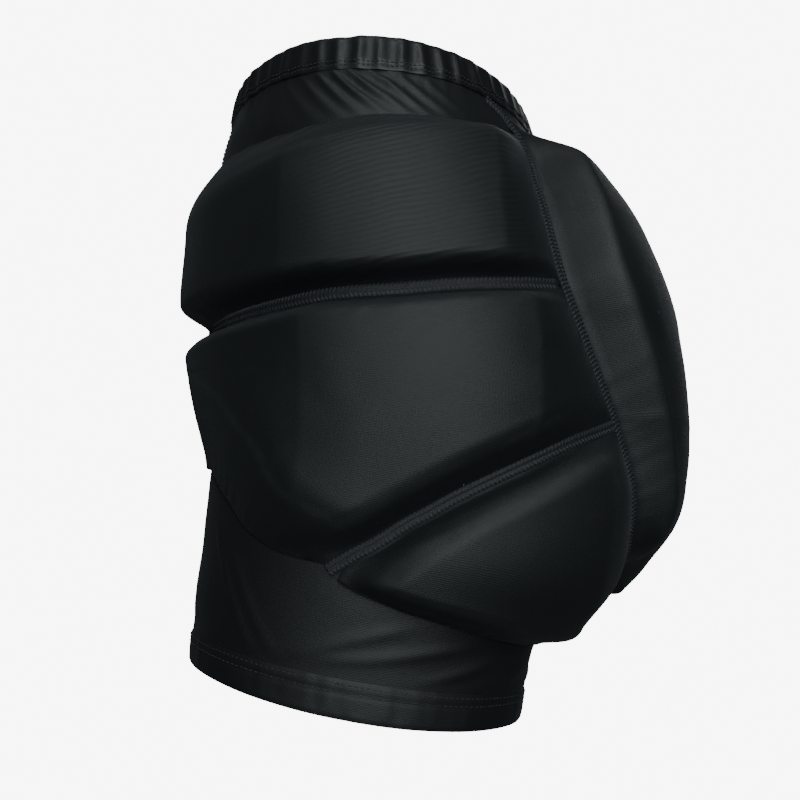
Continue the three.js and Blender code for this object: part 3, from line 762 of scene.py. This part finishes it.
def gather_height(phi, up):
    """Uneven gathers that stand up between the band's edges, drawn in by the elastic's stitched rows."""
    wander = 0.35 * noise(phi * 4, up / 30, 10) + 0.25 * noise(phi * 9 + 5, up / 12, 11)
    wave = 0.5 + 0.5 * np.cos(BAND_GATHERS * phi + 2.2 * wander)
    ridge = wave ** 1.3
    uneven = 0.75 + 0.35 * noise(phi * BAND_GATHERS / 9.42, up / 50, 12)
    fullness = 0.3 + 0.7 * np.sin(math.pi * np.clip(up / BAND_HEIGHT, 0, 1)) ** 0.7
    return 1.7 * ridge * uneven * fullness


def band_height(phi, up):
    """The casing over the elastic, drawn in between the two stitched rows."""
    return BAND_WALL + gather_height(phi, up) - 0.9 * bump(up - 2.4, 0.9)


def waistband():
    phi, depth = ring_grid(760, 16, 0, BAND_HEIGHT)
    up = BAND_HEIGHT - depth
    height = band_height(phi, up) - 1.1 * bump(up - BAND_HEIGHT, 1.2) - 0.8 * bump(up, 0.9)
    outer = over_body(phi, depth, height)
    outer[..., 2] += 0.5 * noise(phi * 9, up * 0, 13) * smooth(up / BAND_HEIGHT * 2 - 1)
    inner_gather = 0.6 * np.cos(BAND_GATHERS * phi + 1) * np.sin(math.pi * up / BAND_HEIGHT)
    inner = over_body(phi, depth, 0.5 * inner_gather + 0.5 * bump(up - BAND_HEIGHT, 1.2) - BAND_WALL)
    return shell(outer, inner, grid_uv(phi, depth, True), ring=True)


# Pads
def ramp(distance, width, rounding):
    share = np.clip(distance / width, 0, 2)
    near = np.maximum(rounding - np.abs(share - 1), 0) / rounding
    return np.minimum(share, 1) - near * near * rounding / 4


def nearest_on(line, points):
    """Each point's distance to a line over the body, and how far along the line its nearest place is."""
    best = np.full(len(points), np.inf)
    share = np.zeros(len(points))
    for k, (a, b) in enumerate(zip(line[:-1], line[1:])):
        span = b - a
        t = np.clip((points - a) @ span / (span @ span), 0, 1)
        distance = np.linalg.norm(points - a - t[:, None] * span, axis=1)
        closer = distance < best
        best[closer] = distance[closer]
        share[closer] = (k + t[closer]) / (len(line) - 1)
    return best, share


LINE_STEPS = 48


def side_down(line, start, end, *slope):
    depth = np.linspace(start, end, LINE_STEPS + 1)
    return dict(line=body_point(line(depth), depth), slope=slope)


def side_round(edge, start, end, *slope):
    phi = np.linspace(start, end, LINE_STEPS + 1)
    return dict(line=body_point(phi, edge(phi)), slope=slope)


FLANGE = 1.0  # height of the sewn-down edge over the cloth
BEND_ANGLE = -27.5  # where a hip pad bends round the front of the thigh, in degrees at its low end
BEND_LEAN = -4.5
BEND_HEIGHT = 3.0
BEND_REACH = 32.0
BEND_SOFTNESS = 4
SEWN_RUN = 3.4  # millimetres in which a cover rises from its sewn edge, and how far out that starts
SEWN_START = 3.2
# width of the band along a pad face's rounded edge that is coloured partly as rubbed wear and partly as a
# painted highlight
WEAR_AND_HIGHLIGHT_WIDTH = 2.4
SIM_STEP = 4.5  # millimetres between the simulated cover's grid lines
SIM_FRAMES = 20
SIM_SMOOTHING = 3
SIM_CAP = 4.0  # the most that a cover may swell, in millimetres
SIM_FADE = 6
SIM_CLOTH = dict(
    quality=6, mass=0.2, tension_stiffness=12, compression_stiffness=12, shear_stiffness=4,
    bending_stiffness=0.4, vertex_group_mass="sewn", use_pressure=True, uniform_pressure_force=6.0,
)
PUCKER_HEIGHT = 0.4
PUCKER_LENGTH = 4.4
PUCKER_REACH = 8
# Soft dents in the foam: length round and down, height, and what is added to the pad's seed
DENTS = ((36, 32, 0.6, 20), (13, 12, 0.12, 40))


def swelling(points, pinned):
    """How far each point of a cover moves when air pressure fills it and its pinned edge holds."""
    rows, columns = points.shape[:2]
    faces, _ = quads_of(rows, columns, False, None)
    mesh = bpy.data.meshes.new("cover")
    mesh.from_pydata((points.reshape(-1, 3) * MM).tolist(), [], faces.tolist())
    cover = new_object("cover", mesh)
    group = cover.vertex_groups.new(name="sewn")
    group.add(np.flatnonzero(pinned.ravel()).tolist(), 1.0, "REPLACE")
    cloth = cover.modifiers.new("cover", "CLOTH")
    settings = cloth.settings
    for key, value in SIM_CLOTH.items():
        setattr(settings, key, value)
    settings.effector_weights.gravity = 0
    cloth.collision_settings.use_collision = False
    cloth.point_cache.frame_start = 1
    cloth.point_cache.frame_end = SIM_FRAMES
    for number in range(1, SIM_FRAMES + 1):
        bpy.context.scene.frame_set(number)
    done = cover.evaluated_get(bpy.context.evaluated_depsgraph_get()).to_mesh()
    moved = np.zeros(len(done.vertices) * 3)
    done.vertices.foreach_get("co", moved)
    bpy.context.scene.frame_set(1)
    bpy.data.objects.remove(cover)
    bpy.data.meshes.remove(mesh)
    return moved.reshape(rows, columns, 3) / MM - points


def finer(values, rows, columns):
    """A coarse grid's values at a finer grid's points."""
    high, wide = values.shape
    j, i = np.linspace(0, high - 1, rows), np.linspace(0, wide - 1, columns)
    j0, i0 = np.minimum(j.astype(int), high - 2), np.minimum(i.astype(int), wide - 2)
    s, t = (i - i0)[None, :], (j - j0)[:, None]
    corner = lambda b, a: values[np.ix_(j0 + b, i0 + a)]
    return mix(mix(corner(0, 0), corner(0, 1), s), mix(corner(1, 0), corner(1, 1), s), t)


def pad_height(phi, depth, u, w, sides, thickness, fullness, bend):
    """Height of a foam pad's cover over the cloth, how near the sewn edge is, where its face ends, and a
    band along the face's edge that is coloured as rubbed wear with a painted highlight.
    """
    points = body_point(phi, depth).reshape(-1, 3)
    rise, wear_and_highlight, nearest = 1.0, 0.0, np.inf
    for side in sides:
        reach, first_width, last_width, rounding = side["slope"]
        distance, share = (a.reshape(phi.shape) for a in nearest_on(side["line"], points))
        gap = distance - reach
        width = mix(first_width, last_width, share) * thickness
        rise = rise * ramp(np.maximum(gap, 0), width, rounding)
        # a band along the face's rounded edge: the cover's colour is lightened there, partly as rubbed
        # wear and partly as a painted highlight where the edge catches the light
        wear_and_highlight = wear_and_highlight + bump(gap - width, WEAR_AND_HIGHLIGHT_WIDTH)
        nearest = np.minimum(nearest, gap)
    sewn = smooth((nearest + SEWN_START) / SEWN_RUN)
    crown = np.sin(math.pi * u) * np.sin(math.pi * w)
    body = thickness - PAD_RIM - PAD_CROWN + fullness(w)
    from_bend = np.abs(phi / DEGREE - (BEND_ANGLE - BEND_LEAN * w)) * DEGREE * round_scale(phi, depth)
    bent = np.log1p(np.exp((BEND_REACH - from_bend) / BEND_SOFTNESS)) * BEND_SOFTNESS / BEND_REACH
    height = mix(FLANGE, SEAT + PAD_RIM, sewn) + body * rise + 0.4 * PAD_CROWN * crown
    height = height + bend * bent * rise
    return height, nearest, sewn, rise, np.clip(wear_and_highlight * smooth(rise * 2 - 0.7), 0, 1)


def swell_over(edges, size, form, shape):
    """A cover's swell, simulated on a coarse grid, smoothed, and read at a finer grid's points."""
    phi, depth, u, w = grid(edges, *size, SIM_STEP)
    height, nearest, _, _, _ = pad_height(phi, depth, u, w, **form)
    moved = swelling(over_body(phi, depth, height), nearest < 1)
    swell = (moved * normal_at(phi, depth)).sum(-1)
    for _ in range(SIM_SMOOTHING):
        around = swell[:-2, 1:-1] + swell[2:, 1:-1] + swell[1:-1, :-2] + swell[1:-1, 2:]
        swell[1:-1, 1:-1] = (2 * swell[1:-1, 1:-1] + around) / 6
    return finer(np.clip(swell, -1, SIM_CAP), *shape)


def pad(edges, sides, thickness, seed, size, ribbed=0.0, fullness=always(0), bend=0.0):
    """A foam pad under a stretched cover, which is sewn down along its edges."""
    form = dict(sides=sides, thickness=thickness, fullness=fullness, bend=bend)
    phi, depth, u, w = grid(edges, *size)
    height, nearest, sewn, rise, wear_and_highlight = pad_height(phi, depth, u, w, **form)
    height = height + swell_over(edges, size, form, height.shape) * smooth(nearest / SIM_FADE)
    across = float(round_scale(np.median(phi), np.median(depth)))
    pucker = noise((phi * across + depth) / PUCKER_LENGTH, nearest / 30, seed)
    pucker = pucker * bump(np.maximum(nearest - 1, 0), PUCKER_REACH)
    dents = 0 * phi
    for wide, high, tall, shift in DENTS:
        dents = dents + tall * noise(phi * across / wide, depth / high, seed + shift)
    height = height + PUCKER_HEIGHT * pucker * sewn
    height = height + dents * smooth(rise * 1.4) * smooth((nearest - 4) / 14)
    outer = over_left(phi, depth, height)
    inner = over_left(phi, depth, 0 * height + SEAT)
    lined = ribbed * smooth(1.6 * u - 0.5) * smooth(3 - 3 * u) * smooth(1.5 * rise)
    # the edge band lightens the cover's colour as rubbed wear and as a painted highlight; the ribbed mark
    # draws the lines
    return shell(outer, inner, grid_uv(phi, depth, False), marks=dict(wear_and_highlight=wear_and_highlight, ribbed=lined))


SEWN_GAP = 0.3
ON_SEAM = SEAM_SIDE - SEWN_GAP
pad_front = beside(front_seam, 1.2)
pad_back = beside(seat_seam, -SEWN_GAP)
pad_top = below(yoke_edge, 0.4)
above_hip_seam, under_hip_seam = below(hip_seam, -SEWN_GAP), below(hip_seam, SEWN_GAP)
above_thigh_seam, under_thigh_seam = below(thigh_seam, -SEWN_GAP), below(thigh_seam, SEWN_GAP)
under_seat_seam = below(under_seat_edge, SEWN_GAP)


def middle_back(depth):
    return pad_back(np.minimum(depth, MIDDLE_PAD_CORNER * RISE))


def middle_low(phi):
    behind = above_thigh_seam(np.maximum(phi, THIGH_CORNER))
    return np.where(phi < THIGH_CORNER, middle_low_edge(phi), behind)


def lower_top(phi):
    return np.where(phi < SEAT_CORNER, under_thigh_seam(phi), under_seat_seam(phi))


FAR_FRONT, FAR_BACK = -88 * DEGREE, 52 * DEGREE
seat_mid = lambda depth: angle_at_x(SEAT_PAD_APART / 2, depth)
seat_pad_front = beside(seat_seam, SEWN_GAP)
low_start, low_end = LOWER_PAD_FRONT * DEGREE, LOWER_PAD_BACK * DEGREE
lower_front, lower_back = always(low_start), always(low_end)
seat_top, seat_low = always(depth_of(SEAT_PAD_TOP)), always(depth_of(SEAT_PAD_LOW))

# Each side of a pad: its line and where that starts and ends, how far in from it the slope starts, the
# slope's width at both ends in pad thicknesses, and how round the face's edge is
PADS = {
    "upper": dict(
        edges=dict(front=pad_front, back=pad_back, top=pad_top, low=above_hip_seam),
        sides=[
            side_down(pad_front, 40, 155, 2, 0.8, 0.8, 0.6),
            side_down(pad_back, 28, 120, ON_SEAM, 1.5, 1.8, 0.08),
            side_round(pad_top, FAR_FRONT, FAR_BACK, 1.2, 1.3, 0.4, 0.5),
            side_round(above_hip_seam, FAR_FRONT, FAR_BACK, ON_SEAM, 0.3, 0.16, 0.6),
        ],
        thickness=HIP_PAD_THICKNESS, seed=101, size=(300, 95), ribbed=1.0, bend=BEND_HEIGHT,
    ),
    "middle": dict(
        edges=dict(front=pad_front, back=middle_back, top=under_hip_seam, low=middle_low),
        sides=[
            side_down(pad_front, 145, 232, 3, 1.3, 1.8, 0.5),
            side_down(pad_back, 108, 182, ON_SEAM, 1.3, 2.9, 0.07),
            side_round(under_hip_seam, FAR_FRONT, FAR_BACK, ON_SEAM, 0.4, 0.2, 0.6),
            side_round(middle_low_edge, FAR_FRONT, THIGH_CORNER, 3, 2.2, 0.8, 0.6),
            side_round(above_thigh_seam, THIGH_CORNER, FAR_BACK, ON_SEAM, 0.4, 0.5, 0.7),
        ],
        thickness=HIP_PAD_THICKNESS, seed=102, size=(310, 130), bend=BEND_HEIGHT,
    ),
    "lower": dict(
        edges=dict(front=lower_front, back=lower_back, top=lower_top, low=lower_low_edge),
        sides=[
            side_down(lower_front, 255, 272, 1.2, 1.0, 1.0, 0.4),
            side_down(lower_back, 250, 290, 1.2, 1.6, 1.6, 0.4),
            side_round(under_thigh_seam, THIGH_CORNER, SEAT_CORNER, ON_SEAM, 0.5, 0.3, 0.95),
            side_round(under_seat_seam, SEAT_CORNER, low_end, ON_SEAM, 1.3, 3.0, 0.08),
            side_round(lower_low_edge, low_start, low_end, 1.2, 0.35, 0.9, 0.5),
        ],
        thickness=THIGH_PAD_THICKNESS, seed=103, size=(230, 110), ribbed=0.5,
    ),
    "seat": dict(
        edges=dict(front=seat_pad_front, back=seat_mid, top=seat_top, low=seat_low),
        sides=[
            side_down(seat_pad_front, 25, 246, ON_SEAM, 0.38, 0.38, 0.25),
            side_down(seat_mid, 25, 246, 1.2, 0.45, 0.45, 0.5),
            side_round(seat_top, 30 * DEGREE, 90 * DEGREE, 1.2, 0.9, 0.9, 0.4),
            side_round(seat_low, 40 * DEGREE, 90 * DEGREE, 1.2, 1.0, 1.0, 0.4),
        ],
        thickness=SEAT_PAD_THICKNESS, seed=104, size=(130, 225),
        fullness=curve([row[0] for row in SEAT_FULLNESS], [row[1] for row in SEAT_FULLNESS]),
    ),
}
pads = {name: pad(**values) for name, values in PADS.items()}

for name, made in pads.items():
    node = "seat_pad" if name == "seat" else f"{name}_hip_pad"
    for made_object in pair(f"{name}_foam_pad", made, pad_material, "pad_cover", node):
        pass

# The cloth over the body
waistband_piece = piece("gathered_waistband", waistband(), band_material, ["waistband"])
yokes = pair("yoke_cloth", yoke(), cloth_material, "cloth", "yoke")
fronts = pair("front_cloth", front_panel(), cloth_material, "cloth", "front_panel")
seats = pair("seat_cloth", seat_panel(), cloth_material, "cloth", "seat_panel")
legs = pair("leg_cloth", leg_panel(), cloth_material, "cloth", "leg_panel", "inner_leg_panel")
hems = pair("leg_hem_cloth", leg_hem(), cloth_material, "cloth", "leg_hem")


# Seams and stitches
def threads(start, end, up, radius, dip=0.35):
    """Short stitches from start to end that stand proud in the middle and dip into the cloth."""
    sides = 5
    along = end - start
    across = unit(np.cross(unit(along), up))
    up = np.cross(across, unit(along))
    shares = np.array([0.0, 0.18, 0.5, 0.82, 1.0])
    lift = np.array([-dip, 0.45 * radius, radius, 0.45 * radius, -dip])
    size = np.array([0.35, 0.9, 1.0, 0.9, 0.35]) * radius
    turn = np.arange(sides) / sides * 2 * math.pi
    centre = start[:, None] + shares[None, :, None] * along[:, None] + lift[None, :, None] * up[:, None]
    around = (np.cos(turn)[None, None, :, None] * across[:, None, None]
              + np.sin(turn)[None, None, :, None] * up[:, None, None])
    points = centre[:, :, None] + size[None, :, None, None] * around
    count, rings = len(start), len(shares)
    index = np.arange(count * rings * sides).reshape(count, rings, sides)
    nxt = np.roll(index, -1, axis=2)
    faces = np.stack([index[:, :-1], nxt[:, :-1], nxt[:, 1:], index[:, 1:]], -1).reshape(-1, 4)
    flat = np.tile([(0, 0), (1, 0), (1, 1), (0, 1)], (len(faces), 1))
    made = points.reshape(-1, 3)
    return dict(points=made, faces=faces, uv=flat, marks=dict(thread=np.ones(len(made))))


def resample(phi, depth, height, step):
    """The same line over the body with points a step apart."""
    points = over_body(phi, depth, height)
    gone = np.concatenate([[0], np.cumsum(np.linalg.norm(np.diff(points, axis=0), axis=1))])
    count = max(int(gone[-1] / step), 2)
    at = np.linspace(0, gone[-1], count + 1)
    return np.interp(at, gone, phi), np.interp(at, gone, depth), np.interp(at, gone, height), at


def stitch_row(phi, depth, height, long=2.0, gap=0.6, radius=0.28):
    phi, depth, height, _ = resample(phi, depth, height, long + gap)
    points = over_body(phi, depth, height)
    normal = normal_at(phi, depth)
    share = long / (long + gap)
    start, end = points[:-1], mix(points[:-1], points[1:], share)
    return threads(start, end, normal[:-1], radius)


TAPE_WIDTH = 6.2
TAPE_STEP = 1.1
STITCHED_FROM, STITCHED_TO = 0.12, 1.04  # shares of the tape's half width


def seam(phi, depth, lift):
    """A flat sewn ribbon with a groove down its middle and slanted stitches over each half."""
    phi, depth, lift, gone = resample(phi, depth, lift, TAPE_STEP)
    points = body_point(phi, depth)
    normal = normal_at(phi, depth)
    across = TAPE_WIDTH / 2 * np.cross(normal, unit(np.gradient(points, axis=0)))
    shares = np.linspace(-1, 1, 13)
    crown = 0.6 * (1 - shares ** 4) - 0.42 * bump(shares, 0.2)
    scallop = 1 + 0.05 * np.cos(2 * math.pi * gone / 1.6)
    aside = shares[None, :, None] * (scallop[:, None] * across)[:, None]
    high = lift[:, None] + 0.35 + crown[None, :]
    outer = points[:, None] + aside + high[..., None] * normal[:, None]
    inner = points[:, None] + aside + lift[:, None, None] * normal[:, None]
    uv = np.stack(np.broadcast_arrays(shares[None, :] * TAPE_WIDTH / 2, gone[:, None]), -1)
    parts = [shell(outer, inner, np.concatenate([uv, uv[:, -1:]], 1))]
    every = slice(None, None, 2)
    up = normal[every][:-1]
    for sign in (-1, 1):
        inside = (points + (lift + 0.72)[:, None] * normal + sign * STITCHED_FROM * across)[every]
        outside = (points + (lift + 0.42)[:, None] * normal + sign * STITCHED_TO * across)[every]
        parts.append(threads(inside[:-1], mix(outside[:-1], outside[1:], 0.55), up, 0.5, 0.15))
    return joined(parts)


SEAM_POINTS = 200


def line_down(line, start, end):
    depth = np.linspace(start, end, SEAM_POINTS)
    return line(depth), depth


def line_round(edge, start, end):
    phi = np.linspace(start, end, SEAM_POINTS)
    return phi, edge(phi)


SEAM_LIFT = 1.55
ROW_LIFT = 0.25
BAND_CLEAR = 1.5  # how far a seam starts below the waistband
# How far down the hip seam meets the front seam and then the seat seam, and the thigh seam the seat seam
HIP_SEAM_START, HIP_SEAM_END, THIGH_SEAM_END = 0.56, 0.455, 0.735


def sew_tape(name, phi, depth, lift):
    """A seam's tape on both sides, in place of the plain seam of that name."""
    pair(f"{name}_tape", seam(phi, depth, lift), thread_material, "seam_thread", name)


def meets_seat_seam(down, degrees):
    """The angle so many degrees ahead of the seat seam."""
    return float(seat_seam(down * RISE)) - degrees * DEGREE


phi, depth = line_down(seat_seam, band_low + BAND_CLEAR, RISE - 1)
sew_tape("seat_seam", phi, depth, SEAM_LIFT * smooth((depth - SEAT_PAD_TOP * RISE) / 8))
start = front_seam(HIP_SEAM_START * RISE) + 2 * DEGREE
phi, depth = line_round(hip_seam, start, meets_seat_seam(HIP_SEAM_END, 3.2))
sew_tape("hip_seam", phi, depth, 0 * phi + SEAM_LIFT)
start = THIGH_CORNER - 1 * DEGREE
phi, depth = line_round(thigh_seam, start, meets_seat_seam(THIGH_SEAM_END, 2.4))
sew_tape("thigh_seam", phi, depth, 0 * phi + SEAM_LIFT)

front_rows = []
phi, depth = line_down(front_seam, band_low + BAND_CLEAR, RISE - 1)
for shift, tall in ((-1.6, 0.05), (1.6, 0.1)):
    front_rows.append(stitch_row(beside(front_seam, shift)(depth), depth, 0 * depth + tall))
pair("front_seam_stitches", joined(front_rows), thread_material, "seam_thread")

# Each edge that is sewn down with one row of stitches, and where the row starts and ends
PAD_EDGE_ROWS = (
    (below(yoke_edge, 1.9), front_seam(45) + 1.5 * DEGREE, meets_seat_seam(0.144, 3)),
    (below(middle_low_edge, -1.4), front_seam(226) + 2 * DEGREE, THIGH_CORNER),
    (below(lower_low_edge, -1.4), low_start + 1 * DEGREE, low_end - 1 * DEGREE),
)
edge_rows = []
for edge, start, end in PAD_EDGE_ROWS:
    phi, depth = line_round(edge, start, end)
    edge_rows.append(stitch_row(phi, depth, 0 * phi + FLANGE + ROW_LIFT))
pair("pad_edge_stitches", joined(edge_rows), thread_material, "seam_thread")

circle = np.linspace(0, 2 * math.pi, 1200)
hem_rows = []
for up in HEM_ROWS:
    height = 0.55 + hem_waves(circle, up)
    hem_rows.append(stitch_row(circle, RISE + INSEAM - up + 0 * circle, height, 2.3, 0.7, 0.27))
pair("hem_stitches", joined(hem_rows), thread_material, "seam_thread")

band_stitches = []
for up in BAND_ROWS:
    height = 0.05 + band_height(circle, up)
    band_stitches.append(stitch_row(circle, BAND_HEIGHT - up + 0 * circle, height, 1.9, 0.6, 0.26))
piece("waistband_stitches", joined(band_stitches), thread_material)

# Stage, lights and camera
AIM = Vector((0, 0.011, -0.166))
CAMERA_DISTANCE = 0.86
CAMERA_TILT = 4.6 * DEGREE
LENS = 64.5
FLOOR = -1.3
FLOOR_REACH = 3.0
COVE = 1.5  # radius of the bend from the floor into the wall
WALL_TOP = 6.0
FLOOR_TURNS = 64


def stage_material():
    material, _, _, shader = new_material("pale_stage")
    set_inputs(shader, {
        "Base Color": (0, 0, 0, 1), "Roughness": 1.0, "Specular IOR Level": 0.0,
        "Emission Color": (1, 1, 1, 1), "Emission Strength": 8.0,
    })
    return material


def backdrop():
    """A floor that rises into walls all round, so that every side is seen against the same pale ground."""
    profile = [(0.0, 0.0), (1.0, 0.0), (FLOOR_REACH, 0.0)]
    for a in np.linspace(0, math.pi / 2, 12)[1:]:
        profile.append((FLOOR_REACH + COVE * math.sin(a), COVE - COVE * math.cos(a)))
    profile.append((FLOOR_REACH + COVE, WALL_TOP))
    angles = np.arange(FLOOR_TURNS) / FLOOR_TURNS * 2 * math.pi
    points = [(r * math.cos(a), r * math.sin(a), FLOOR + up) for r, up in profile for a in angles]
    faces, _ = quads_of(len(profile), FLOOR_TURNS, True, None)
    mesh = bpy.data.meshes.new("backdrop")
    mesh.from_pydata(points, [], faces.tolist())
    mesh.shade_smooth()
    mesh.materials.append(stage_material())
    made = new_object("backdrop", mesh)
    made.visible_glossy = False
    made.visible_diffuse = False


def area_light(name, place_at, target, wide, high, power, colour=(1, 1, 1)):
    data = bpy.data.lights.new(name, "AREA")
    data.shape = "RECTANGLE"
    data.size = wide
    data.size_y = high
    data.energy = power
    data.color = colour
    light = new_object(name, data)
    light.location = place_at
    light.rotation_euler = (Vector(target) - Vector(place_at)).to_track_quat("-Z", "Y").to_euler()


backdrop()
area_light("key", (1.36, 0.12, 0.14), (0, 0.02, -0.14), 0.35, 1.4, 13, (0.9, 0.98, 1))
area_light("over", (0.6, 0.0, 1.2), (0, 0, -0.1), 0.4, 0.5, 3.5, (0.92, 0.98, 1))
area_light("far_side", (-1.4, 0.1, 0.2), (0, 0, -0.15), 0.6, 1.4, 13)
area_light("far_back", (-1.4, 0.6, 0.4), (0, 0, -0.15), 0.6, 0.8, 2)

world = bpy.data.worlds.new("studio")
world.use_nodes = True
set_inputs(world.node_tree.nodes["Background"], {"Color": (0.9, 0.95, 1, 1), "Strength": 0.05})
bpy.context.scene.world = world

camera_data = bpy.data.cameras.new("camera")
camera_data.lens = LENS
camera = new_object("camera", camera_data)
camera.location = AIM + CAMERA_DISTANCE * Vector((math.cos(CAMERA_TILT), 0, -math.sin(CAMERA_TILT)))
camera.rotation_euler = (AIM - camera.location).to_track_quat("-Z", "Y").to_euler()
bpy.context.scene.camera = camera
